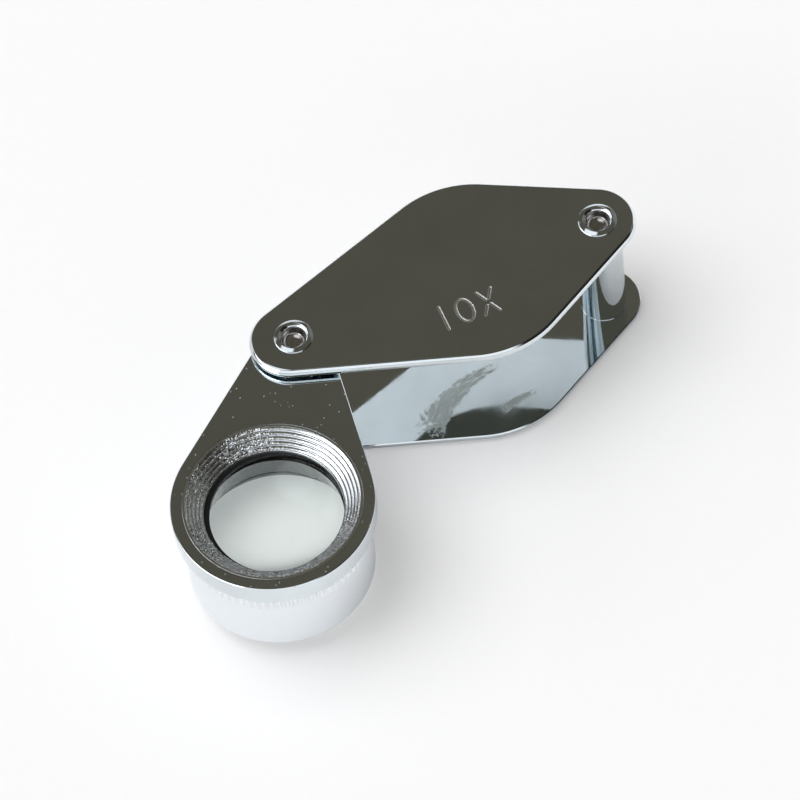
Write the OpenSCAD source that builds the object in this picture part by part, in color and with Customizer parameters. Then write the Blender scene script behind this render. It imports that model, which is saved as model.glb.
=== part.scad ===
// Folding pocket magnifier with a swing-out lens between two case plates.
// Millimetres. The pivot and end rivets stand along Z, the case runs along X,
// and Z = 0 is the surface that the rivet heads stand on.

/* [Case plates] */
// Distance between the pivot rivet and the end rivet
rivet_pitch = 39.6; // [38.6:0.2:44]
// Distance from the centre of the plate's round end in to the pivot rivet
pivot_inset = 0.4; // [0:0.1:0.6]
// Radius of both rounded ends of a case plate
plate_end_r = 4.95; // [4.6:0.05:5.5]
// Radius of the wide middle of a case plate
belly_r = 12.75; // [12:0.05:13.5]
// Distance from the pivot to the centre of the wide middle
belly_x = 23.2; // [21:0.1:25]
// Thickness of one case plate
plate_t = 1.2; // [1.0:0.1:1.4]
// Width of the rounding that the press leaves along a plate's outer edge
edge_roll = 0.9; // [0.5:0.1:1.2]
// Clear height between the two case plates
case_gap = 16.5; // [16.4:0.1:18.5]

/* [Magnification mark] */
// Height of the figures sunk into the upper case plate
mark_h = 3.6; // [2.6:0.1:4.4]
// Width of a stroke
mark_stroke = 0.25; // [0.15:0.05:0.4]
// Depth of a stroke
mark_depth = 0.12; // [0.06:0.02:0.2]

/* [Rivets and end post] */
// Outer radius of the rivet shanks
rivet_r = 1.95; // [1.8:0.05:2.1]
// Radius of the blind hole in the rolled end of a rivet
rivet_bore_r = 1.5; // [1.2:0.05:1.6]
// Depth of the blind hole
rivet_bore_depth = 3.1; // [2:0.1:5]
// Outer radius of the rivet heads
rivet_head_r = 2.4; // [2.3:0.05:2.7]
// Height of the rivet heads above and below the case
rivet_head_h = 0.38; // [0.3:0.02:0.5]
// Outer radius of the post that holds the plates apart
post_r = 2.8; // [2.5:0.05:3.2]

/* [Swing arm] */
// Angle of the open lens from the case's long axis
swing_angle = -118.75; // [-180:0.25:180]
// Distance from the pivot to the centre of the lens
lens_reach = 22.05; // [21.5:0.05:22.4]
// Radius of the arm's round head
head_r = 12.2; // [12.0:0.05:12.4]
// Radius of the arm's narrow end at the pivot
arm_end_r = 4.1; // [3.8:0.05:4.4]
// Thickness of the arm's flat plate
arm_t = 3.0; // [2.5:0.1:3.4]
// Space between the upper case plate and the arm
arm_drop = 0.5; // [0.4:0.05:0.6]

/* [Lens barrel] */
// Outer radius of the barrel below the arm
barrel_r = 11.2; // [11.0:0.05:11.4]
// Radius of the barrel's seat in the arm
seat_r = 10.8; // [10.6:0.05:10.85]
// Height of the barrel, from the arm's top face down
barrel_h = 14.3; // [14.0:0.05:14.4]
// Radius of the eye opening at the foot of the grooved mouth
eye_r = 8.35; // [8.0:0.05:8.4]
// Depth of the grooved mouth
mouth_depth = 2.1; // [1.8:0.05:2.2]
// Number of turned steps in the mouth
mouth_steps = 5; // [3:1:6]
// Number of short grooves in the reeded band
reed_count = 72; // [36:4:80]
// Width of one groove
reed_w = 0.45; // [0.3:0.05:0.6]
// Depth of one groove at its middle
reed_depth = 0.2; // [0.1:0.02:0.3]

/* [Lenses] */
// Radius of the lens glasses
lens_r = 9.0; // [8.8:0.05:9.05]
// Radius of the domed face of each glass
lens_curve_r = 24; // [20:0.5:30]
// Thickness of each glass at its rim
lens_edge_t = 1.6; // [1.2:0.1:1.7]

/* [Hidden] */
$fn = 96;
fit = 0.05;
face_gap = 0.03;
plate_z0 = rivet_head_h;
gap_z0 = plate_z0 + plate_t;
gap_z1 = gap_z0 + case_gap;
plate_z1 = gap_z1 + plate_t;
arm_z1 = gap_z1 - arm_drop;
arm_z0 = arm_z1 - arm_t;
barrel_z0 = arm_z1 - barrel_h;
lens_x = lens_reach * cos(swing_angle);
lens_y = lens_reach * sin(swing_angle);
x_low = min(-pivot_inset - plate_end_r, lens_x - head_r);
x_high = max(rivet_pitch + plate_end_r, lens_x + head_r);
y_low = min(-belly_r, lens_y - head_r);
y_high = max(belly_r, lens_y + head_r);
middle = [(x_low + x_high) / 2, (y_low + y_high) / 2, 0];
lens_bulge = lens_curve_r - sqrt(pow(lens_curve_r, 2) - pow(lens_r, 2));
hub_r = arm_end_r - 0.4;
washer_t = 0.6;
cell_r = lens_r + fit;
land_t = 0.4;
stop_t = 0.5;
spacer_t = 2 * lens_bulge + 1.0;
spacer_wall = 0.75;
seat_gap = lens_bulge + sqrt(pow(lens_curve_r, 2) - pow(lens_r - spacer_wall, 2)) - lens_curve_r + 0.01;
ring_t = 1.8;
stop_z1 = arm_z1 - mouth_depth - land_t;
upper_z1 = stop_z1 - stop_t;
upper_z0 = upper_z1 - lens_edge_t;
lower_z1 = upper_z0 - spacer_t;
lower_z0 = lower_z1 - lens_edge_t;
ring_z0 = lower_z0 - ring_t;
reed_h = 2.4;
reed_mid = arm_z0 - 0.5 - reed_h / 2;
saw_r = pow(reed_h / 2, 2) / (2 * reed_depth) + reed_depth / 2;
bore_foot_r = rivet_bore_r - 0.3;

// Ends of the straight flank that joins two circles, [x, radius] each, a hair inside their tangent
function flank(c1, c2) =
    let (a = acos((c1[1] - c2[1]) / (c2[0] - c1[0])))
    [for (c = [c1, c2]) [c[0] + (c[1] - 0.01) * cos(a), (c[1] - 0.01) * sin(a)]];

// The same run of corners on both sides of the long axis
function both_sides(run) =
    concat(run, [for (i = [len(run) - 1:-1:0]) [run[i][0], -run[i][1]]]);

module in_place() {
    translate(-middle)
        children();
}

module at_lens() {
    in_place()
        translate([lens_x, lens_y, 0])
            children();
}

module ring(r_out, r_in, z0, z1) {
    translate([0, 0, z0])
        difference() {
            cylinder(r = r_out, h = z1 - z0);
            translate([0, 0, -1])
                cylinder(r = r_in, h = z1 - z0 + 2);
        }
}

// Round discs on one line, [x, radius] each, joined by straight flanks
module joined_discs(discs, thick) {
    union() {
        for (c = discs)
            translate([c[0], 0, 0])
                cylinder(r = c[1], h = thick);
        linear_extrude(height = thick)
            polygon(both_sides([for (i = [1:len(discs) - 1]) each flank(discs[i - 1], discs[i])]));
    }
}

// Section of a plate's margin, from r_in out to its rounded edge at r
function margin(r_in, r) =
    [[r_in, 0],
     [r, 0],
     [r, 0.6 * plate_t],
     [r - 0.12 * edge_roll, 0.76 * plate_t],
     [r - 0.45 * edge_roll, 0.92 * plate_t],
     [r - edge_roll, plate_t],
     [r_in, plate_t]];

// Straight side between two discs, [x, radius] each, with the same margin
module side_margin(c1, c2) {
    ends = flank(c1, c2);
    run = ends[1] - ends[0];
    translate([ends[0][0], ends[0][1], 0])
        rotate([90, 0, atan2(run[1], run[0]) + 90])
            linear_extrude(height = norm(run))
                polygon(margin(-3, 0));
}

// Case plate, lying with its square face down: two round ends and a wide round middle
module case_plate() {
    discs = [[-pivot_inset, plate_end_r], [belly_x, belly_r], [rivet_pitch, plate_end_r]];
    difference() {
        union() {
            for (c = discs)
                translate([c[0], 0, 0])
                    rotate_extrude()
                        polygon(margin(0, c[1]));
            for (i = [1, 2])
                for (turn = [0, 1])
                    mirror([0, turn, 0])
                        side_margin(discs[i - 1], discs[i]);
            linear_extrude(height = plate_t)
                polygon(both_sides([for (i = [1, 2])
                    each flank([discs[i - 1][0], discs[i - 1][1] - edge_roll - 0.2],
                               [discs[i][0], discs[i][1] - edge_roll - 0.2])]));
        }
        for (x = [0, rivet_pitch])
            translate([x, 0, -1])
                cylinder(r = rivet_r + fit, h = plate_t + 2);
    }
}

// Rivet: a flat factory head below, and above a drilled end that is rolled out into a ridged lip
module rivet(x) {
    lip_r = rivet_head_r - 0.42;
    in_place()
        translate([x, 0, 0])
            rotate_extrude()
                polygon([[0, 0],
                         [rivet_head_r - 0.45, 0],
                         [rivet_head_r - 0.2, 0.06],
                         [rivet_head_r, 0.24],
                         [rivet_head_r, plate_z0],
                         [rivet_r, plate_z0],
                         [rivet_r, plate_z1],
                         [rivet_head_r, plate_z1],
                         [rivet_head_r - 0.06, plate_z1 + 0.12],
                         [lip_r + 0.08, plate_z1 + rivet_head_h - 0.02],
                         [lip_r, plate_z1 + rivet_head_h],
                         [lip_r - 0.08, plate_z1 + rivet_head_h - 0.04],
                         [rivet_bore_r + 0.04, plate_z1 - 0.05],
                         [rivet_bore_r, plate_z1 - 0.25],
                         [bore_foot_r, plate_z1 - rivet_bore_depth + 0.3],
                         [0, plate_z1 - rivet_bore_depth]]);
}

// Straight groove from a to b
module stroke(a, b) {
    run = b - a;
    translate([a[0], a[1], -mark_depth])
        rotate([0, 0, atan2(run[1], run[0])])
            translate([0, -mark_stroke / 2, 0])
                cube([norm(run), mark_stroke, 1]);
}

// Oval of half width rx and half height ry
function oval(rx, ry) = [for (t = [0:9:351]) [rx * cos(t), ry * sin(t)]];

// Ten-times mark: a one, a nought and a cross, sunk side by side
module magnification_mark() {
    half = mark_h / 2;
    stroke([-3.5, half], [-3.5, -half]);
    translate([-0.75, 0, -mark_depth])
        linear_extrude(height = 1)
            difference() {
                polygon(oval(1.15, half));
                polygon(oval(1.15 - mark_stroke, half - mark_stroke));
            }
    stroke([1.35, half], [3.15, -half]);
    stroke([3.3, half], [1.2, -half]);
}

module top_plate() {
    color([0.80, 0.81, 0.83])
        difference() {
            in_place()
                translate([0, 0, gap_z1])
                    case_plate();
            in_place()
                translate([20.85, -5.15, plate_z1])
                    magnification_mark();
        }
}

module bottom_plate() {
    color([0.74, 0.76, 0.79])
        in_place()
            translate([0, 0, gap_z0])
                mirror([0, 0, 1])
                    case_plate();
}

module pivot_rivet() {
    color([0.86, 0.86, 0.87])
        rivet(0);
}

module end_rivet() {
    color([0.86, 0.86, 0.87])
        rivet(rivet_pitch);
}

// Post that holds the case plates apart round the end rivet
module end_post() {
    color([0.70, 0.72, 0.75])
        in_place()
            translate([rivet_pitch, 0, 0])
                ring(post_r, rivet_r + fit, gap_z0, gap_z1);
}

// Washer that fills the space between the upper plate and the arm
module top_washer() {
    color([0.62, 0.63, 0.65])
        in_place()
            ring(hub_r, rivet_r + fit, arm_z1 + face_gap, gap_z1);
}

module bottom_washer() {
    color([0.62, 0.63, 0.65])
        in_place()
            ring(hub_r, rivet_r + fit, gap_z0, gap_z0 + washer_t);
}

// Dished washer that presses the arm up and gives the swing its friction
module spring_washer() {
    low = gap_z0 + washer_t;
    high = barrel_z0 - face_gap;
    t = 0.35;
    color([0.45, 0.46, 0.50])
        in_place()
            rotate_extrude()
                polygon([[hub_r, low],
                         [hub_r, low + t],
                         [rivet_r + fit + 0.5, high],
                         [rivet_r + fit, high],
                         [rivet_r + fit, high - t],
                         [hub_r - 0.5, low]]);
}

// Teardrop plate with a full-height hub at the pivot and a round seat for the barrel
module swing_arm() {
    color([0.78, 0.79, 0.81])
        in_place()
            rotate([0, 0, swing_angle])
                difference() {
                    union() {
                        translate([0, 0, arm_z0])
                            joined_discs([[0, arm_end_r], [lens_reach, head_r]], arm_t);
                        translate([0, 0, barrel_z0])
                            cylinder(r = hub_r, h = barrel_h - 1);
                    }
                    translate([0, 0, barrel_z0 - 1])
                        cylinder(r = rivet_r + fit, h = barrel_h + 2);
                    translate([lens_reach, 0, arm_z0 - 1])
                        cylinder(r = seat_r, h = arm_t + 2);
                }
}

// Stepped cone from the top face down to the eye opening, as the lathe leaves it
function mouth() =
    let (step_r = (seat_r - 0.35 - eye_r) / mouth_steps, step_h = mouth_depth / mouth_steps)
    [for (i = [0:mouth_steps - 1])
        each [[seat_r - 0.35 - i * step_r, arm_z1 - i * step_h],
              [seat_r - 0.35 - i * step_r - 0.12, arm_z1 - (i + 0.72) * step_h],
              [seat_r - 0.35 - (i + 0.72) * step_r, arm_z1 - (i + 0.95) * step_h]]];

// Turned tube that carries the glasses, seated in the arm from below.
// A small saw sinks the grooves of the reeded band, so each one runs out at both ends.
module lens_barrel() {
    color([0.83, 0.84, 0.86])
        at_lens()
            difference() {
                rotate_extrude()
                    polygon(concat(
                        [[seat_r, arm_z1]],
                        mouth(),
                        [[eye_r, arm_z1 - mouth_depth],
                         [eye_r, stop_z1],
                         [cell_r, stop_z1],
                         [cell_r, ring_z0],
                         [cell_r + 0.6, barrel_z0],
                         [barrel_r - 0.3, barrel_z0],
                         [barrel_r, barrel_z0 + 0.3],
                         [barrel_r, arm_z0],
                         [seat_r, arm_z0]]));
                for (i = [0:reed_count - 1])
                    rotate([0, 0, 360 / reed_count * i])
                        translate([barrel_r + saw_r - reed_depth, reed_w / 2, reed_mid])
                            rotate([90, 0, 0])
                                cylinder(r = saw_r, h = reed_w, $fn = 60);
            }
}

// Thin black ring between the eye opening and the upper glass
module stop_ring() {
    color([0.06, 0.06, 0.07])
        at_lens()
            ring(lens_r, eye_r - 0.15, upper_z1, stop_z1);
}

// Plano-convex glass: flat face at z_flat, dome towards the other glass
module glass(z_flat, z_edge, side) {
    at_lens()
        intersection() {
            translate([0, 0, min(z_flat, z_edge + side * lens_bulge)])
                cylinder(r = lens_r, h = lens_edge_t + lens_bulge);
            translate([0, 0, z_edge + side * (lens_bulge - lens_curve_r)])
                sphere(r = lens_curve_r);
        }
}

module upper_lens() {
    color([0.80, 0.90, 0.92, 0.5])
        glass(upper_z1, upper_z0, -1);
}

module lower_lens() {
    color([0.80, 0.90, 0.92, 0.5])
        glass(lower_z0, lower_z1, 1);
}

// Tube that keeps the two glasses apart: its inner edges rest on their domes
module lens_spacer() {
    color([0.55, 0.56, 0.58])
        at_lens()
            ring(lens_r, lens_r - spacer_wall, lower_z1 + seat_gap, upper_z0 - seat_gap);
}

// Ring that screws in from below and holds the glasses
module retaining_ring() {
    color([0.50, 0.51, 0.54])
        at_lens()
            ring(cell_r, eye_r, ring_z0, lower_z0);
}

top_plate();
bottom_plate();
pivot_rivet();
end_rivet();
end_post();
top_washer();
bottom_washer();
spring_washer();
swing_arm();
lens_barrel();
stop_ring();
upper_lens();
lens_spacer();
lower_lens();
retaining_ring();
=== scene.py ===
import math

import bmesh
import bpy
from mathutils import Matrix, Vector


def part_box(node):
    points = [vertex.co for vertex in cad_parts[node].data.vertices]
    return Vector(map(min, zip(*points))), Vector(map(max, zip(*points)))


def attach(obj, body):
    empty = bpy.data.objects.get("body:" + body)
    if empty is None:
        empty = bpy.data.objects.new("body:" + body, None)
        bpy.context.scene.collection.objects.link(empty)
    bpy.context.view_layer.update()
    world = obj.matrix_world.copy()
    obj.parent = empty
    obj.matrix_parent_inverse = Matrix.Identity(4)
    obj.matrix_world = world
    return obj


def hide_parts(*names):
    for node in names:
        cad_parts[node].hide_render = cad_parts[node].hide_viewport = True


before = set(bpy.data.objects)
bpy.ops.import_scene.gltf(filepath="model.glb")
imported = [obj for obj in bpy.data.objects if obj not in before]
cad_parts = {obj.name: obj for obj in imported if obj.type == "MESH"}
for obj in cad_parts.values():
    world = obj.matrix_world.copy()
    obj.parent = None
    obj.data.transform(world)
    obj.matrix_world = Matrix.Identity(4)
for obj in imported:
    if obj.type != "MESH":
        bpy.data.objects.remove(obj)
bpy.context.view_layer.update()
MM = 0.001

# Photo view
# The camera looks down on the open loupe from in front and a little to the left, through a long
# lens, and is turned slightly about its own axis, so that the case climbs to the right.
def middle_of(node):
    """Centre of a node's box, which is the axis of a turned part."""
    low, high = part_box(node)
    return (Vector(low) + Vector(high)) / 2


def level(node, side):
    """Height of a node's underside (0) or top (1)."""
    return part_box(node)[side][2]


PIVOT = middle_of("pivot_rivet").to_2d()
FAR_END = middle_of("end_rivet").to_2d()
LENS = middle_of("upper_lens").to_2d()
AIM = (PIVOT + Vector((8.169, -13.665)) * MM).to_3d()
AIM.z = level("top_plate", 1)
AZIMUTH, ELEVATION, ROLL = (math.radians(d) for d in (-16.302, 57.178, -7.287))
DISTANCE = 745.6 * MM
FOCAL_LENGTH = 282.87  # millimetres, as Blender wants it
SENSOR_WIDTH = 36

back = Vector((math.sin(AZIMUTH) * math.cos(ELEVATION),
               -math.cos(AZIMUTH) * math.cos(ELEVATION),
               math.sin(ELEVATION)))
right = Vector((math.cos(AZIMUTH), math.sin(AZIMUTH), 0))
up = back.cross(right)
turn = Matrix((right, up, back)).transposed().to_4x4() @ Matrix.Rotation(ROLL, 4, "Z")
lens_data = bpy.data.cameras.new("photo_view")
lens_data.lens = FOCAL_LENGTH
lens_data.sensor_width = SENSOR_WIDTH
lens_data.clip_end = 10
camera = bpy.data.objects.new("photo_view", lens_data)
camera.matrix_world = Matrix.Translation(AIM + back * DISTANCE) @ turn
bpy.context.collection.objects.link(camera)
bpy.context.scene.camera = camera
bpy.context.scene.view_settings.view_transform = "Standard"


# Table and light
# A matt white board under a dim warm room, with one large soft window of light low on the left.
# Polished chrome shows the room overhead as dark and the board as pale.
def paint(code):
    """Linear colour of an sRGB hex code."""
    parts = [int(code[i:i + 2], 16) / 255 for i in (0, 2, 4)]
    return [p / 12.92 if p <= 0.04045 else ((p + 0.055) / 1.055) ** 2.4 for p in parts] + [1]


def add(tree, kind, feeds=(), **settings):
    """Adds a node. Feeds fill its sockets in order, and a setting fills the socket or sets the
    option of that name. A value that is a socket is linked."""
    node = tree.nodes.new("ShaderNode" + kind)
    values = list(zip(node.inputs, feeds))
    for key, value in settings.items():
        if key.replace("_", " ") in node.inputs:
            values.append((node.inputs[key.replace("_", " ")], value))
        else:
            setattr(node, key, value)
    for socket, value in values:
        if isinstance(value, bpy.types.NodeSocket):
            tree.links.new(value, socket)
        elif value is not None:
            socket.default_value = value
    return node


def new_finish(name):
    """An empty material and its node tree."""
    finish = bpy.data.materials.new(name)
    finish.use_nodes = True
    finish.node_tree.nodes.clear()
    return finish, finish.node_tree


def keep_piece(name, shape):
    """Puts a mesh into the scene."""
    piece = bpy.data.objects.new(name, shape)
    bpy.context.collection.objects.link(piece)
    return piece


# Matt white board: pale and even, so it keeps the loupe's soft shadow. The camera sees a share of
# plain white in it. A painted pool of light lies on the board near the lens axis: plain white glow,
# seen only through the glasses, that stands in for the light they gather.
BOARD_SIZE = 3.0
BOARD_WHITE = paint("f8f8f9")
WHITE_SHARE = 0.32
PAINTED_POOL_AT = (LENS + Vector((2.3, 1.4)) * MM).to_3d()
PAINTED_POOL_CORE = 3.8 * MM
PAINTED_POOL_RIM = 8.5 * MM
PAINTED_POOL_DIM = 0.2
white_board, tree = new_finish("white_board")
place = add(tree, "TexCoord").outputs["Object"]
fibre = add(tree, "TexNoise", Vector=place, Scale=900.0, Detail=3.0)
shade = add(tree, "MapRange", [fibre.outputs["Fac"], 0.3, 0.7, 0.985, 1.0])
tone = add(tree, "MixRGB", [1.0, BOARD_WHITE, shade.outputs["Result"]], blend_type="MULTIPLY")
board = add(tree, "BsdfDiffuse", Color=tone.outputs["Color"], Roughness=0.5)
seen = add(tree, "Emission", Color=paint("ffffff"), Strength=1.0)
ray = add(tree, "LightPath")
bare = add(tree, "Math", [ray.outputs["Is Camera Ray"], WHITE_SHARE], operation="MULTIPLY")
# Painted pool of light: the share of plain white glow seen through the glasses, full near the lens
# axis and fading outwards.
from_painted_pool = add(tree, "VectorMath", [place, PAINTED_POOL_AT], operation="DISTANCE")
pool = add(tree, "MapRange", [from_painted_pool.outputs["Value"], PAINTED_POOL_CORE, PAINTED_POOL_RIM, 1.0, PAINTED_POOL_DIM],
           interpolation_type="SMOOTHSTEP")
through = add(tree, "Math", [ray.outputs["Is Transmission Ray"], pool.outputs["Result"]],
              operation="MULTIPLY")
share = add(tree, "Math", [bare.outputs["Value"], through.outputs["Value"]], operation="MAXIMUM")
lit = add(tree, "MixShader",
          [share.outputs["Value"], board.outputs["BSDF"], seen.outputs["Emission"]])
add(tree, "OutputMaterial", [lit.outputs["Shader"]])

sheet = bmesh.new()
bmesh.ops.create_grid(sheet, x_segments=8, y_segments=8, size=BOARD_SIZE / 2)
board_mesh = bpy.data.meshes.new("table")
sheet.to_mesh(board_mesh)
sheet.free()
table = keep_piece("table", board_mesh)
board_mesh.materials.append(white_board)


def towards(around_view, climb):
    """A direction by its turn from the right of the view, back being 90 degrees, and its climb."""
    turn_by, rise = math.radians(around_view), math.radians(climb)
    beyond = Vector((-back.x, -back.y, 0)).normalized()
    flat = right * math.cos(turn_by) + beyond * math.sin(turn_by)
    return flat * math.cos(rise) + Vector((0, 0, math.sin(rise)))


# The white studio wall stands low round the left and the front, with a round light high on the
# left. The rest of the room is dim, but for a pale strip of backdrop low at the back and a faintly
# lit far corner, and it is darkest at the near right. Flat polished faces show the dim part, bent
# edges the bright ones.
room = bpy.data.worlds.new("studio_room")
bpy.context.scene.world = room
room.use_nodes = True
tree = room.node_tree
tree.nodes.clear()
ROOM_DARK = paint("58554b")
ROOM_BLACK = paint("2a2826")
PANEL_WHITE = (1.13, 1.15, 1.19, 1)
facing = add(tree, "TexCoord").outputs["Generated"]
climbing = add(tree, "SeparateXYZ", [facing]).outputs["Z"]


def within(centre, rim, core):
    """How far a direction lies inside a soft round patch of the room, by cosine."""
    along = add(tree, "VectorMath", [facing, centre], operation="DOT_PRODUCT")
    inside = add(tree, "MapRange", [along.outputs["Value"], rim, core],
                 interpolation_type="SMOOTHSTEP")
    return inside.outputs["Result"]


above = add(tree, "MapRange", [climbing, 0.03, 0.12], interpolation_type="SMOOTHSTEP")
below = add(tree, "MapRange", [climbing, 0.50, 0.62, 1.0, 0.0], interpolation_type="SMOOTHSTEP")
height = add(tree, "Math", [above.outputs["Result"], below.outputs["Result"]],
             operation="MULTIPLY")
wall = add(tree, "Math", [height.outputs["Value"], within(towards(222, 0), 0.05, 0.25)],
           operation="MULTIPLY").outputs["Value"]
high_light = within(towards(200, 67), 0.93, 0.97)
low = add(tree, "MapRange", [climbing, 0.10, 0.20, 0.85, 0.0], interpolation_type="SMOOTHSTEP")
backdrop = add(tree, "Math", [low.outputs["Result"], within(towards(90, 0), 0.80, 0.90)],
               operation="MULTIPLY").outputs["Value"]
far_corner = within(towards(30, 10), 0.80, 0.92)
unlit = within(towards(-25, 15), 0.80, 0.93)
pale = 0.0
for patch, strength in ((wall, 1.0), (high_light, 1.0), (backdrop, 1.0), (far_corner, 0.1)):
    patch = add(tree, "Math", [patch, strength], operation="MULTIPLY").outputs["Value"]
    pale = add(tree, "Math", [patch, pale], operation="MAXIMUM").outputs["Value"]
dim = add(tree, "MixRGB", [unlit, ROOM_DARK, ROOM_BLACK])
sky = add(tree, "MixRGB", [pale, dim.outputs["Color"], PANEL_WHITE])
glow = add(tree, "Background", [sky.outputs["Color"], 1.0])
add(tree, "OutputWorld", [glow.outputs["Background"]])


def soft_light(name, direction, distance, width, height, power, mirrored):
    """A soft panel that faces the loupe. Polished faces show it if mirrored is true."""
    data = bpy.data.lights.new(name, "AREA")
    data.shape = "RECTANGLE"
    data.size, data.size_y = width, height
    data.energy = power
    lamp = bpy.data.objects.new(name, data)
    facing_loupe = direction.to_track_quat("Z", "Y").to_matrix().to_4x4()
    lamp.matrix_world = Matrix.Translation(direction * distance) @ facing_loupe
    lamp.visible_glossy = mirrored
    lamp.visible_transmission = False
    bpy.context.collection.objects.link(lamp)


# A wide window low on the left, and a big diffuser high on the left that lights the table
soft_light("window", towards(200, 22), 2.0, 2.4, 0.84, 12.0, True)
soft_light("diffuser", towards(168, 67), 2.0, 1.8, 1.8, 32.0, False)
bpy.context.scene.cycles.max_bounces = 24
bpy.context.scene.cycles.glossy_bounces = 16
bpy.context.scene.cycles.transmission_bounces = 16


# Case plates
# Two like plates of sheet steel 1.2 mm thick, blanked in a press, polished and chrome plated. The
# press draws the outer edge down to a soft shoulder and leaves the inner one nearly square.
PLATE_SHOULDER = [(inset * MM, depth * MM) for inset, depth in
                  ((0.78, 0), (0.35, 0.12), (0.13, 0.38), (0.04, 0.6), (0, 0.76))]
PLATE_BURR = 0.14 * MM
PLATE_SOFT = 0.07 * MM
BELLY = PIVOT + Vector((23.05, 0.07)) * MM
BELLY_R = 12.73 * MM
END_R = 4.98 * MM
FAR_R = 4.83 * MM
PIVOT_END = PIVOT + Vector((-0.4, 0.08)) * MM
FAR_END_MID = FAR_END + Vector((-0.12, 0.25)) * MM
RIVET_HOLE_R = 2.0 * MM
PRESSED_SHARP = 30
MARK_DEPTH = 0.08 * MM


def around(discs, inset, steps):
    """Corners of the outline round a row of discs, (x, y, radius) each, drawn in by inset."""
    def lean(a, b):
        reach = Vector((b[0] - a[0], b[1] - a[1]))
        return math.acos((a[2] - b[2]) / reach.length)
    way = math.atan2(discs[-1][1] - discs[0][1], discs[-1][0] - discs[0][0])
    leans = [math.pi] + [lean(a, b) for a, b in zip(discs, discs[1:])] + [0.0]
    corners = []
    for sign in (1, -1):
        order = range(len(discs) - 1, -1, -1) if sign > 0 else range(len(discs))
        for i in order:
            first, last = (leans[i + 1], leans[i]) if sign > 0 else (-leans[i], -leans[i + 1])
            count = max(3, int(steps * abs(last - first) / (2 * math.pi)))
            for k in range(count + 1):
                if sign < 0 and i == 0 and k == 0:
                    continue
                if sign < 0 and i == len(discs) - 1 and k == count:
                    continue
                t = way + first + (last - first) * k / count
                x, y, r = discs[i]
                corners.append((x + (r - inset) * math.cos(t), y + (r - inset) * math.sin(t)))
    return corners


def softened(corners, radius, parts=4, closed=True):
    """A section with its corners rounded by radius, or less where a side is short. Corners on the
    axis of a closed section and the ends of an open one stay sharp."""
    soft = []
    for i, corner in enumerate(corners):
        if (closed and corner[0] < 1e-9) or (not closed and i in (0, len(corners) - 1)):
            soft.append(corner)
            continue
        here = Vector(corner)
        before = Vector(corners[i - 1]) - here
        after = Vector(corners[(i + 1) % len(corners)]) - here
        cut = min(radius, before.length * 0.45, after.length * 0.45)
        a, b = here + before.normalized() * cut, here + after.normalized() * cut
        for k in range(parts + 1):
            t = k / parts
            soft.append(tuple(a * (1 - t) ** 2 + here * 2 * t * (1 - t) + b * t ** 2))
    return soft


def edge_section(thick, shoulder, burr, radius):
    """Section of a blanked edge as (drawn in, depth below the face): the shoulder's corners, the
    wall and the foot's small burr corner."""
    return softened(list(shoulder) + [(0, thick - burr), (burr, thick)], radius, 5, False)


def join_loops(form, loops):
    """Faces between neighbouring closed loops of the same number of corners."""
    for a, b in zip(loops, loops[1:]):
        for k in range(len(a)):
            n = (k + 1) % len(a)
            form.faces.new((a[k], a[n], b[n], b[k]))


def loop_of(form, corners, z):
    return [form.verts.new((x, y, z)) for x, y in corners]


def circle(x, y, r, steps):
    return [(x + r * math.cos(2 * math.pi * k / steps), y + r * math.sin(2 * math.pi * k / steps))
            for k in range(steps)]


def fill_between(form, *rims):
    """Flat face bounded by the first rim with the others as holes."""
    edges = []
    for rim in rims:
        for k in range(len(rim)):
            edges.append(form.edges.get((rim[k], rim[(k + 1) % len(rim)])) or
                         form.edges.new((rim[k], rim[(k + 1) % len(rim)])))
    bmesh.ops.triangle_fill(form, use_beauty=True, use_dissolve=False, edges=edges)


def finish_mesh(form, name, finish, sharp=40):
    """Turns a form into a shown piece with smooth bends, sharp corners and true flats."""
    bmesh.ops.recalc_face_normals(form, faces=form.faces)
    shape = bpy.data.meshes.new(name)
    form.to_mesh(shape)
    form.free()
    shape.shade_smooth()
    shape.set_sharp_from_angle(angle=math.radians(sharp))
    shape.materials.append(finish)
    piece = keep_piece(name, shape)
    flats = piece.modifiers.new("true_flats", "WEIGHTED_NORMAL")
    flats.keep_sharp = True
    flats.weight = 80
    return piece


def groove(form, outlines, z, depth):
    """Sunk stroke with sloping walls between loops of its outline, from the face down."""
    sunk = [loop_of(form, outline, z - depth * share) for outline, share in outlines]
    join_loops(form, sunk)
    return sunk


def pressed_plate(name, discs, holes, z_face, z_foot, finish, edge, marks=(), mark_finish=None):
    """Blanked plate with its soft edge at z_face and round holes, (x, y, radius) each. Marks are
    sunk into the face: rows of outlines with their share of the depth."""
    form = bmesh.new()
    way = math.copysign(1, z_foot - z_face)
    loops = [loop_of(form, around(discs, inset, 256), z_face + way * depth)
             for inset, depth in edge_section(abs(z_foot - z_face), *edge)]
    join_loops(form, loops)
    rims = [[loop_of(form, circle(x, y, r, 96), z) for z in (z_face, z_foot)] for x, y, r in holes]
    for rim in rims:
        join_loops(form, rim)
    plain = len(form.faces)
    sunk = [groove(form, mark, z_face, MARK_DEPTH) for mark in marks]
    form.faces.ensure_lookup_table()
    for face in form.faces[plain:]:
        face.material_index = 1
    fill_between(form, loops[0], *[rim[0] for rim in rims], *[rows[0] for rows in sunk])
    for rows in sunk:
        fill_between(form, rows[-1])
    fill_between(form, loops[-1], *[rim[1] for rim in rims])
    piece = finish_mesh(form, name, finish, PRESSED_SHARP)
    if mark_finish:
        piece.data.materials.append(mark_finish)
    return piece


# Bright chrome plate on steel: a cold mirror with faint polishing waves, hairlines and smears
CHROME = paint("dfe6e9")
CHROME_FILM = paint("d8dfe2")
SMEARED = paint("cfd4d0")


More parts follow.
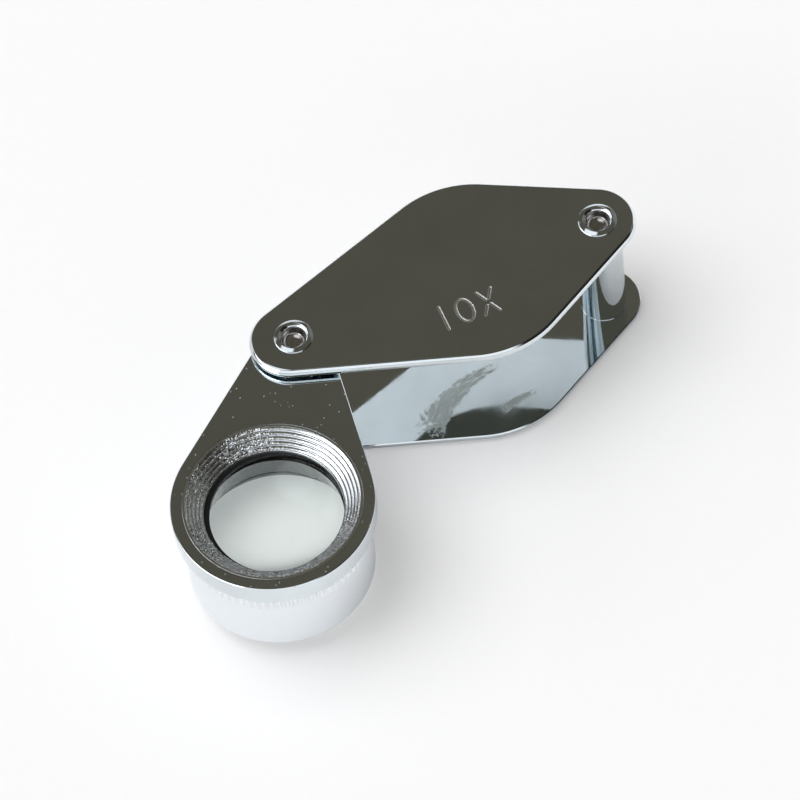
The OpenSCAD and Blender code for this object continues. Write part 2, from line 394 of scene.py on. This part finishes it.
def wiped_band(tree, place, ragged, middle, radius, heading, reach, widths):
    """How strongly a thumb smear covers each place: a streaky band bent round a middle. Heading is
    the direction from there to the band's half way, reach its half length and widths its half
    widths at both ends."""
    angle = math.radians(heading)
    out = add(tree, "VectorMath", [place, middle.to_3d()], operation="SUBTRACT")
    out = add(tree, "VectorMath", [out.outputs["Vector"], (1, 1, 0)], operation="MULTIPLY")
    far = add(tree, "VectorMath", [out.outputs["Vector"]], operation="LENGTH").outputs["Value"]
    way = add(tree, "VectorMath", [out.outputs["Vector"], (-math.sin(angle), math.cos(angle), 0)],
              operation="DOT_PRODUCT").outputs["Value"]
    off = add(tree, "Math", [far, radius], operation="SUBTRACT").outputs["Value"]
    off = add(tree, "Math", [off], operation="ABSOLUTE").outputs["Value"]
    wide = add(tree, "MapRange", [way, -reach, reach, *widths]).outputs["Result"]
    frayed = add(tree, "MapRange", [ragged, 0.3, 0.7, 0.55, 1.35]).outputs["Result"]
    rim = add(tree, "Math", [wide, frayed], operation="MULTIPLY").outputs["Value"]
    core = add(tree, "Math", [rim, 0.8], operation="MULTIPLY").outputs["Value"]
    band = add(tree, "MapRange", [off, core, rim, 1.0, 0.0]).outputs["Result"]
    length = add(tree, "Math", [way], operation="ABSOLUTE").outputs["Value"]
    worn = add(tree, "Math", [length, frayed], operation="DIVIDE").outputs["Value"]
    ends = add(tree, "MapRange", [worn, 0.75 * reach, 1.05 * reach, 1.0, 0.0]).outputs["Result"]
    drag = add(tree, "Math", [way, 0.12], operation="MULTIPLY").outputs["Value"]
    drawn = add(tree, "CombineXYZ", [far, drag, 0.0]).outputs["Vector"]
    streaks = add(tree, "TexNoise", Vector=drawn, Scale=5000.0, Detail=4.0, Roughness=0.6)
    patchy = add(tree, "MapRange", [streaks.outputs["Fac"], 0.35, 0.6, 0.5, 1.0])
    cover = add(tree, "Math", [band, ends], operation="MULTIPLY").outputs["Value"]
    cover = add(tree, "Math", [cover, patchy.outputs["Result"]], operation="MULTIPLY")
    return cover.outputs["Value"]


def chromed(name, wave=0.35, hairline=0.12, smear=(0.02, 0.10), pits=0.0, wipes=()):
    """Pits is the share of cells that hold a casting pit. Wipes are thumb smears, each with the
    middle, radius, heading, reach and half widths of its band."""
    finish, tree = new_finish(name)
    place = add(tree, "TexCoord").outputs["Object"]
    slow = add(tree, "TexNoise", Vector=place, Scale=180.0, Detail=2.0)
    stretched = add(tree, "Mapping", [place, (0, 0, 0), (0, 0, 0.5), (400.0, 9000.0, 9000.0)])
    lines = add(tree, "TexNoise", Vector=stretched.outputs["Vector"], Scale=1.0, Detail=2.0)
    blot = add(tree, "TexNoise", Vector=place, Scale=140.0, Detail=6.0, Roughness=0.6)
    gloss = add(tree, "MapRange", [blot.outputs["Fac"], 0.45, 0.75, smear[0], smear[1]])
    rough = gloss.outputs["Result"]
    film = add(tree, "MapRange", [blot.outputs["Fac"], 0.35, 0.65, 0.0, 1.0])
    tone = add(tree, "MixRGB", [film.outputs["Result"], CHROME, CHROME_FILM])
    for wipe in wipes:
        ragged = add(tree, "TexNoise", Vector=place, Scale=1800.0, Detail=8.0, Roughness=0.75)
        cover = wiped_band(tree, place, ragged.outputs["Fac"], *wipe)
        dull = add(tree, "MapRange", [ragged.outputs["Fac"], 0.35, 0.65, 0.32, 0.5])
        rough = add(tree, "MapRange", [cover, 0.0, 1.0, rough, dull.outputs["Result"]])
        rough = rough.outputs["Result"]
        tone = add(tree, "MixRGB", [cover, tone.outputs["Color"], SMEARED])
    waves = add(tree, "Bump", Strength=wave, Distance=0.00002, Height=slow.outputs["Fac"])
    scratches = add(tree, "Bump", Strength=hairline, Distance=0.000002,
                    Height=lines.outputs["Fac"], Normal=waves.outputs["Normal"])
    surface = scratches
    if pits:
        spots = add(tree, "TexVoronoi", Vector=place, Scale=1500.0, feature="F1")
        dot = add(tree, "MapRange", [spots.outputs["Distance"], 0.05, 0.14, 1.0, 0.0])
        rare = add(tree, "SeparateColor", [spots.outputs["Color"]])
        kept = add(tree, "Math", [rare.outputs["Red"], 1 - pits], operation="GREATER_THAN")
        speck = add(tree, "Math", [dot.outputs["Result"], kept.outputs["Value"]],
                    operation="MULTIPLY")
        surface = add(tree, "Bump", Strength=1.0, Distance=0.00004,
                      Height=speck.outputs["Value"], Normal=scratches.outputs["Normal"])
    metal = add(tree, "BsdfPrincipled", Base_Color=tone.outputs["Color"], Metallic=1.0,
                Roughness=rough, Normal=surface.outputs["Normal"])
    add(tree, "OutputMaterial", [metal.outputs["BSDF"]])
    return finish


# Ten-times mark, struck into the upper plate with a blunt punch, so its strokes are rounded
# grooves. The two strokes of the cross fade out where they meet.
MARK_AT = PIVOT + Vector((20.85, -5.15)) * MM
STROKE = 0.21 * MM
SLOPES = ((1.0, 0.0), (0.8, 0.35), (0.5, 0.8), (0.2, 1.0))


def stroke_rows(x1, y1, x2, y2):
    """Outlines of a round-ended straight stroke, in millimetres from the mark's middle."""
    a, b = MARK_AT + Vector((x1, y1)) * MM, MARK_AT + Vector((x2, y2)) * MM
    return [(around([(a.x, a.y, STROKE * wide), (b.x, b.y, STROKE * wide)], 0, 16), share)
            for wide, share in SLOPES]


def oval(rx, ry, steps=64):
    x, y = MARK_AT + Vector((-0.75, 0)) * MM
    return [(x + rx * math.cos(2 * math.pi * k / steps), y + ry * math.sin(2 * math.pi * k / steps))
            for k in range(steps)]


def nought_rows():
    """Outlines of the nought, from its outer rim down and up again to its inner rim."""
    rx, ry = 1.0 * MM, 1.65 * MM
    rows = [(oval(rx + STROKE * wide, ry + STROKE * wide), share) for wide, share in SLOPES]
    return rows + [(oval(rx - STROKE * wide, ry - STROKE * wide), share)
                   for wide, share in reversed(SLOPES)]


marks = [stroke_rows(-3.5, 1.7, -3.5, -1.7), nought_rows(),
         stroke_rows(1.4, 1.7, 2.1, 0.3), stroke_rows(2.45, -0.4, 3.1, -1.7),
         stroke_rows(3.25, 1.7, 2.5, 0.4), stroke_rows(1.95, -0.5, 1.25, -1.7)]
plate_chrome = chromed("plate_chrome")
handled_chrome = chromed("handled_chrome", wipes=[
    (PIVOT + Vector((25.0, -19.0)) * MM, 16.0 * MM, 116, 6.4 * MM, (0.6 * MM, 2.1 * MM)),
    (PIVOT + Vector((26.8, -20.5)) * MM, 12.0 * MM, 101, 2.4 * MM, (0.4 * MM, 0.7 * MM))])


def grainy_metal(name, colours, grain, dullness, relief):
    """Metal with an even grain: two colours, the grain's scale and detail, the range of its
    roughness, and its relief as strength and height."""
    finish, tree = new_finish(name)
    place = add(tree, "TexCoord").outputs["Object"]
    noise = add(tree, "TexNoise", Vector=place, Scale=grain[0], Detail=grain[1]).outputs["Fac"]
    tone = add(tree, "MixRGB", [noise, paint(colours[0]), paint(colours[1])])
    rough = add(tree, "MapRange", [noise, 0.3, 0.7, *dullness])
    bumps = add(tree, "Bump", Strength=relief[0], Distance=relief[1], Height=noise)
    metal = add(tree, "BsdfPrincipled", Base_Color=tone.outputs["Color"], Metallic=1.0,
                Roughness=rough.outputs["Result"], Normal=bumps.outputs["Normal"])
    add(tree, "OutputMaterial", [metal.outputs["BSDF"]])
    return finish


# Struck chrome: the punch leaves the plating in the strokes dull and grainy, so they read pale grey
struck_chrome = grainy_metal("struck_chrome", ("e6e8e6", "e6e8e6"), (6000.0, 3.0), (0.35, 0.6),
                             (0.5, 0.02 * MM))
plate_edge = (PLATE_SHOULDER, PLATE_BURR, PLATE_SOFT)
case_discs = [(*PIVOT_END, END_R), (*BELLY, BELLY_R), (*FAR_END_MID, FAR_R)]
rivet_holes = [(PIVOT.x, PIVOT.y, RIVET_HOLE_R), (FAR_END.x, FAR_END.y, RIVET_HOLE_R)]
top_plate = pressed_plate("upper_case_plate", case_discs, rivet_holes, level("top_plate", 1),
                          level("top_plate", 0), plate_chrome, plate_edge, marks, struck_chrome)
bottom_plate = pressed_plate("lower_case_plate", case_discs, rivet_holes, level("bottom_plate", 0),
                             level("bottom_plate", 1), handled_chrome, plate_edge)
for piece, node in ((top_plate, "top_plate"), (bottom_plate, "bottom_plate")):
    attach(piece, "case")
    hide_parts(node)


# Rivets and end post
# Two steel rivets go through the case, drilled at their upper ends, which are rolled over the plate
# into a ridged lip. At the far end a turned post round the rivet holds the plates apart.
def turned(name, section, at, finish, steps=192, sharp=40, cut=None):
    """A piece from the lathe: the section, (radius, height) each, swept round the axis at a point.
    A cut changes the radius by the step round the axis."""
    form = bmesh.new()
    rings = []
    for k in range(steps):
        c, s = math.cos(2 * math.pi * k / steps), math.sin(2 * math.pi * k / steps)
        ring = []
        for r, z in section:
            r = cut(k, r, z) if cut else r
            ring.append(form.verts.new((at[0] + r * c, at[1] + r * s, z)))
        rings.append(ring)
    sides = [(j, (j + 1) % len(section)) for j in range(len(section))]
    sides = [(j, n) for j, n in sides if max(section[j][0], section[n][0]) > 1e-9]
    for a, b in zip(rings, rings[1:] + rings[:1]):
        for j, n in sides:
            form.faces.new((a[j], a[n], b[n], b[j]))
    bmesh.ops.remove_doubles(form, verts=form.verts, dist=1e-7)
    return finish_mesh(form, name, finish, sharp)


RIVET_R = 1.95 * MM
BORE_R = 1.4 * MM
BORE_DISH = ((1.37, 0.7), (1.3, 1.0), (1.1, 1.18), (0.75, 1.3), (0.3, 1.36), (0, 1.38))
LIP_R = 2.4 * MM
CREST_R = 1.9 * MM
BACK_FACE = level("bottom_plate", 0)
FACE = level("top_plate", 1)
LIP_H = level("pivot_rivet", 1) - FACE
rivet_chrome = chromed("rivet_chrome", wave=0.5, hairline=0.3, smear=(0.04, 0.14))

# Drilled steel: the dished bore of a rivet is bare and satin
bored_steel = grainy_metal("bored_steel", ("aeabaa", "e2e0df"), (2200.0, 4.0), (0.15, 0.24),
                           (0.2, 0.02 * MM))
head_section = softened([
    (0, 0), (LIP_R - 0.35 * MM, 0), (LIP_R, 0.22 * MM), (LIP_R, BACK_FACE), (RIVET_R, BACK_FACE),
    (RIVET_R, FACE), (LIP_R, FACE), (LIP_R - 0.06 * MM, FACE + 0.16 * MM),
    (CREST_R, FACE + LIP_H - 0.02 * MM), (CREST_R - 0.1 * MM, FACE + LIP_H),
    (BORE_R + 0.1 * MM, FACE + 0.1 * MM), (BORE_R, FACE - 0.1 * MM)]
    + [(r * MM, FACE - z * MM) for r, z in BORE_DISH], 0.07 * MM)
for name, node, at in (("pivot_rivet_head", "pivot_rivet", PIVOT),
                       ("end_rivet_head", "end_rivet", FAR_END)):
    piece = turned(name, head_section, at, rivet_chrome, steps=128)
    piece.data.materials.append(bored_steel)
    for face in piece.data.polygons:
        in_bore = (face.center.to_2d() - at).length < BORE_R
        drilled_part = BACK_FACE + MM < face.center.z < FACE - 0.12 * MM
        face.material_index = int(in_bore and drilled_part)
    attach(piece, "case")
    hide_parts(node)

POST_R = 2.8 * MM
post_section = softened([(RIVET_HOLE_R, level("end_post", 0)), (POST_R, level("end_post", 0)),
                         (POST_R, level("end_post", 1)), (RIVET_HOLE_R, level("end_post", 1))],
                        0.15 * MM)
post = turned("end_post_sleeve", post_section, FAR_END, rivet_chrome, steps=160)
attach(post, "case")
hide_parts("end_post")


# Washers
# Flat washers above and below the arm's hub, and a dished one that presses the arm up, all
# stamped from plain steel. They hide inside the case and keep the swing stiff.

# Plain steel: grey and grainy, with a dull sheen
washer_steel = grainy_metal("plain_steel", ("a9aaac", "a9aaac"), (2500.0, 4.0), (0.28, 0.42),
                            (0.3, 0.01 * MM))
for node in ("top_washer", "bottom_washer", "spring_washer"):
    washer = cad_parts[node]
    washer.data.materials.clear()
    washer.data.materials.append(washer_steel)


# Swing arm
# A teardrop of 3 mm steel with a hub that turns on the pivot rivet, chrome plated. The polish is
# poorer than the plates' and leaves scattered bright pits.
ARM_END_R = 4.1 * MM
HEAD_R = 12.2 * MM
SEAT_R = 10.8 * MM
HUB_R = ARM_END_R - 0.4 * MM
ARM_T = 3.0 * MM
ARM_TOP = level("swing_arm", 1)
BARREL_FOOT = level("lens_barrel", 0)
ARM_SHOULDER = [(0.1 * MM, 0), (0, 0.1 * MM)]
arm_chrome = chromed("arm_chrome", wave=0.5, hairline=0.25, smear=(0.05, 0.14), pits=0.5)
arm_discs = [(PIVOT.x, PIVOT.y, ARM_END_R), (LENS.x, LENS.y, HEAD_R)]
arm = pressed_plate("swing_arm_plate", arm_discs,
                    [(PIVOT.x, PIVOT.y, RIVET_HOLE_R), (LENS.x, LENS.y, SEAT_R)],
                    ARM_TOP, ARM_TOP - ARM_T, arm_chrome, (ARM_SHOULDER, 0.12 * MM, 0.06 * MM))
hub_section = softened([(RIVET_HOLE_R, BARREL_FOOT), (HUB_R, BARREL_FOOT),
                        (HUB_R, ARM_TOP - ARM_T), (RIVET_HOLE_R, ARM_TOP - ARM_T)], 0.2 * MM)
hub = turned("swing_arm_hub", hub_section, PIVOT, arm_chrome, steps=128)
for piece in (arm, hub):
    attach(piece, "lens_unit")
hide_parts("swing_arm")


# Lens barrel
# A turned brass tube seated in the arm from below and chrome plated. Its mouth is cut as five
# shallow steps down to the eye opening, and a band of short grooves runs round it under the arm.
BARREL_R = 11.2 * MM
EYE_R = 8.35 * MM
MOUTH_DEPTH = 2.1 * MM
MOUTH_STEPS = 5
MOUTH_CORNERS = ((0, 0), (0.68, 0.60), (0.74, 1.17))  # of one step, in shares of its size
MOUTH_R = SEAT_R - 0.35 * MM
CELL_R = 9.05 * MM
FOOT_R = 0.6 * MM
REED_COUNT = 72
REED_STEPS = 14
REED_H = 2.8 * MM
REED_MID = ARM_TOP - ARM_T - 0.5 * MM - REED_H / 2
REED_DEEP = 0.3 * MM
REED_HALF_W = 0.24 * MM
REED_WALL = 0.06 * MM
SAW_R = (REED_H / 2) ** 2 / (2 * REED_DEEP) + REED_DEEP / 2
STOP_TOP = level("stop_ring", 1)
RING_FOOT = level("retaining_ring", 0)


# Turned chrome: the side is satin, and the plating lies gritty over the steps of the mouth, in
# patches, where the polishing wheel doesn't reach. The mouth's front is the roughest, and its far
# right is clean.
BARREL_CHROME = paint("f1f5f8")
barrel_chrome, tree = new_finish("turned_chrome")
place = add(tree, "TexCoord").outputs["Object"]
slow = add(tree, "TexNoise", Vector=place, Scale=260.0, Detail=2.0)
parts = add(tree, "SeparateXYZ", [place])
inside = add(tree, "MapRange", [parts.outputs["Z"], ARM_TOP - 2.3 * MM, ARM_TOP - 2.15 * MM])
satin = add(tree, "MapRange", [slow.outputs["Fac"], 0.35, 0.65, 0.42, 0.48])
across = add(tree, "VectorMath", [place, (LENS.x, LENS.y, 0)], operation="SUBTRACT")
flat = add(tree, "VectorMath", [across.outputs["Vector"], (1, 1, 0)], operation="MULTIPLY")
front = add(tree, "VectorMath", [flat.outputs["Vector"], towards(285, 0)], operation="DOT_PRODUCT")
wear = add(tree, "MapRange", [front.outputs["Value"], 0.3 * SEAT_R, 0.9 * SEAT_R, 0.14, 0.22])
gloss = add(tree, "MapRange", [inside.outputs["Result"], 0.0, 1.0, satin.outputs["Result"],
                               wear.outputs["Result"]])
waves = add(tree, "Bump", Strength=0.4, Distance=0.00001, Height=slow.outputs["Fac"])
radius = add(tree, "VectorMath", [flat.outputs["Vector"]], operation="LENGTH")
in_mouth = add(tree, "Math", [radius.outputs["Value"], SEAT_R - 0.3 * MM], operation="LESS_THAN")
clear_side = add(tree, "VectorMath", [flat.outputs["Vector"], towards(35, 0)],
                 operation="DOT_PRODUCT")
worn = add(tree, "TexNoise", Vector=place, Scale=330.0, Detail=2.0)
patch = add(tree, "MapRange", [worn.outputs["Fac"], 0.35, 0.65, 0.3, 0.6])
grit = add(tree, "MapRange", [front.outputs["Value"], 0.3 * SEAT_R, 0.8 * SEAT_R,
                              patch.outputs["Result"], 0.85])
clean = add(tree, "MapRange", [clear_side.outputs["Value"], 0.42 * SEAT_R, 0.62 * SEAT_R,
                               grit.outputs["Result"], 0.05])
depth = add(tree, "Math", [inside.outputs["Result"], in_mouth.outputs["Value"]],
            operation="MULTIPLY")
depth = add(tree, "Math", [depth.outputs["Value"], clean.outputs["Result"]], operation="MULTIPLY")
grains = add(tree, "TexVoronoi", Vector=place, Scale=8200.0, feature="F1")
lean = add(tree, "VectorMath", [grains.outputs["Color"], (0.5, 0.5, 0.5)], operation="SUBTRACT")
lean = add(tree, "VectorMath", [lean.outputs["Vector"]], operation="SCALE",
           Scale=depth.outputs["Value"])
tipped = add(tree, "VectorMath", [waves.outputs["Normal"], lean.outputs["Vector"]], operation="ADD")
tipped = add(tree, "VectorMath", [tipped.outputs["Vector"]], operation="NORMALIZE")
metal = add(tree, "BsdfPrincipled", Base_Color=BARREL_CHROME, Metallic=1.0,
            Roughness=gloss.outputs["Result"], Normal=tipped.outputs["Vector"])
add(tree, "OutputMaterial", [metal.outputs["BSDF"]])

step_r = (MOUTH_R - EYE_R) / MOUTH_STEPS
step_h = MOUTH_DEPTH / MOUTH_STEPS
mouth = []
for i in range(MOUTH_STEPS):
    for inward, down in MOUTH_CORNERS:
        mouth.append((MOUTH_R - (i + inward) * step_r, ARM_TOP - (i + down) * step_h))
section = ([(SEAT_R, ARM_TOP - 0.06 * MM), (SEAT_R - 0.08 * MM, ARM_TOP)] + mouth
           + [(EYE_R, ARM_TOP - MOUTH_DEPTH), (EYE_R, STOP_TOP), (CELL_R, STOP_TOP),
              (CELL_R, RING_FOOT), (CELL_R + 0.6 * MM, BARREL_FOOT)])
foot_round = [(BARREL_R - FOOT_R * (1 - math.sin(math.radians(a))),
               BARREL_FOOT + FOOT_R * (1 - math.cos(math.radians(a)))) for a in range(0, 91, 10)]
reed_rows = [(BARREL_R, REED_MID + REED_H * (k / 16 - 0.5)) for k in range(17)]
section = (softened(section, 0.025 * MM, 3) + foot_round + reed_rows
           + [(BARREL_R, ARM_TOP - ARM_T), (SEAT_R, ARM_TOP - ARM_T)])


def reeded(step, r, z):
    """Radius of the barrel with the saw cuts of its reeded band."""
    if (r, z) not in reed_rows:
        return r
    pitch = 2 * math.pi / REED_COUNT * BARREL_R
    off = abs(step % REED_STEPS - REED_STEPS / 2) / REED_STEPS * pitch
    width_share = min(1, max(0, (REED_HALF_W + REED_WALL - off) / (2 * REED_WALL)))
    saw_depth = max(0, math.sqrt(SAW_R ** 2 - (z - REED_MID) ** 2) - SAW_R + REED_DEEP)
    return r - saw_depth * width_share


barrel = turned("lens_barrel_tube", section, LENS, barrel_chrome, REED_COUNT * REED_STEPS,
                sharp=35, cut=reeded)
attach(barrel, "lens_unit")
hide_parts("lens_barrel")


# Glasses and their rings
# Two plano-convex glasses, domes towards each other, sit between a thin black stop ring, a spacer
# tube and a retaining ring screwed in from below.

# Blackened brass: a dark, slightly shiny ring that frames the glass
black_ring, tree = new_finish("blackened_brass")
place = add(tree, "TexCoord").outputs["Object"]
grain = add(tree, "TexNoise", Vector=place, Scale=3000.0, Detail=4.0)
rough = add(tree, "MapRange", [grain.outputs["Fac"], 0.3, 0.7, 0.35, 0.5])
black = add(tree, "BsdfPrincipled", Base_Color=paint("131315"), Metallic=0.0,
            Roughness=rough.outputs["Result"])
add(tree, "OutputMaterial", [black.outputs["BSDF"]])
STOP_R = 9.0 * MM
STOP_HOLE_R = 8.2 * MM
# The hole is set 0.45 mm off towards the view's right and 0.15 mm towards the camera, so the black
# ring shows wider on its far left side. The ring itself is a real black part; its extra width there
# is painted shade that stands in for the dark reflection on the wall inside the mouth.
STOP_HOLE_SHIFTED_FOR_SHADE = LENS + (right.to_2d() * 0.45 + back.to_2d().normalized() * 0.15) * MM
washer = bmesh.new()
rims = [[loop_of(washer, circle(*centre, r, 128), level("stop_ring", side)) for side in (0, 1)]
        for centre, r in ((LENS, STOP_R), (STOP_HOLE_SHIFTED_FOR_SHADE, STOP_HOLE_R))]
for rim in rims:
    join_loops(washer, rim)
for side in (0, 1):
    fill_between(washer, rims[0][side], rims[1][side])
stop = finish_mesh(washer, "stop_ring_washer", black_ring)
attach(stop, "lens_unit")
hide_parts("stop_ring")

# Dark bright-turned steel: the tube between the glasses, whose bore shows long streaks of light
turned_steel, tree = new_finish("dark_turned_steel")
place = add(tree, "TexCoord").outputs["Object"]
stretched = add(tree, "Mapping", [place, (0, 0, 0), (0, 0, 0), (420.0, 420.0, 30.0)])
facets = add(tree, "TexNoise", Vector=stretched.outputs["Vector"], Scale=1.0, Detail=3.0)
relief = add(tree, "Bump", Strength=1.0, Distance=0.00003, Height=facets.outputs["Fac"])
rough = add(tree, "MapRange", [facets.outputs["Fac"], 0.3, 0.7, 0.05, 0.14])
dark = add(tree, "BsdfPrincipled", Base_Color=paint("4a4d52"), Metallic=1.0,
           Roughness=rough.outputs["Result"], Normal=relief.outputs["Normal"])
add(tree, "OutputMaterial", [dark.outputs["BSDF"]])
for node, finish in (("lens_spacer", turned_steel), ("retaining_ring", washer_steel)):
    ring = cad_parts[node]
    ring.data.materials.clear()
    ring.data.materials.append(finish)

# Polished crown glass: clear, with a sharp reflection of the room on each face, and it lets light
# through to the board below without a hard shadow
crown_glass, tree = new_finish("crown_glass")
glass = add(tree, "BsdfPrincipled", Base_Color=paint("f6faf9"), Roughness=0.0, IOR=1.52,
            Transmission_Weight=1.0)
clear = add(tree, "BsdfTransparent", Color=paint("f4f7f6"))
shadow = add(tree, "LightPath")
mixed = add(tree, "MixShader",
            [shadow.outputs["Is Shadow Ray"], glass.outputs["BSDF"], clear.outputs["BSDF"]])
add(tree, "OutputMaterial", [mixed.outputs["Shader"]])
LENS_R = 9.0 * MM
CURVE_R = 24 * MM
EDGE_T = 1.6 * MM


def dome(edge_z, side, parts=48):
    """Half the dome of a glass, from its rim to its crown."""
    deep = CURVE_R - math.sqrt(CURVE_R ** 2 - LENS_R ** 2)
    return [(r, edge_z + side * (deep - CURVE_R + math.sqrt(CURVE_R ** 2 - r ** 2)))
            for r in (LENS_R * (1 - k / parts) for k in range(parts + 1))]


upper_flat = level("upper_lens", 1)
lower_flat = level("lower_lens", 0)
for name, node, flat, side in (("upper_glass", "upper_lens", upper_flat, -1),
                               ("lower_glass", "lower_lens", lower_flat, 1)):
    outline = [(0, flat), (LENS_R, flat)] + dome(flat + side * EDGE_T, side)
    glass_piece = turned(name, outline, LENS, crown_glass, sharp=30)
    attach(glass_piece, "lens_unit")
    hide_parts(node)
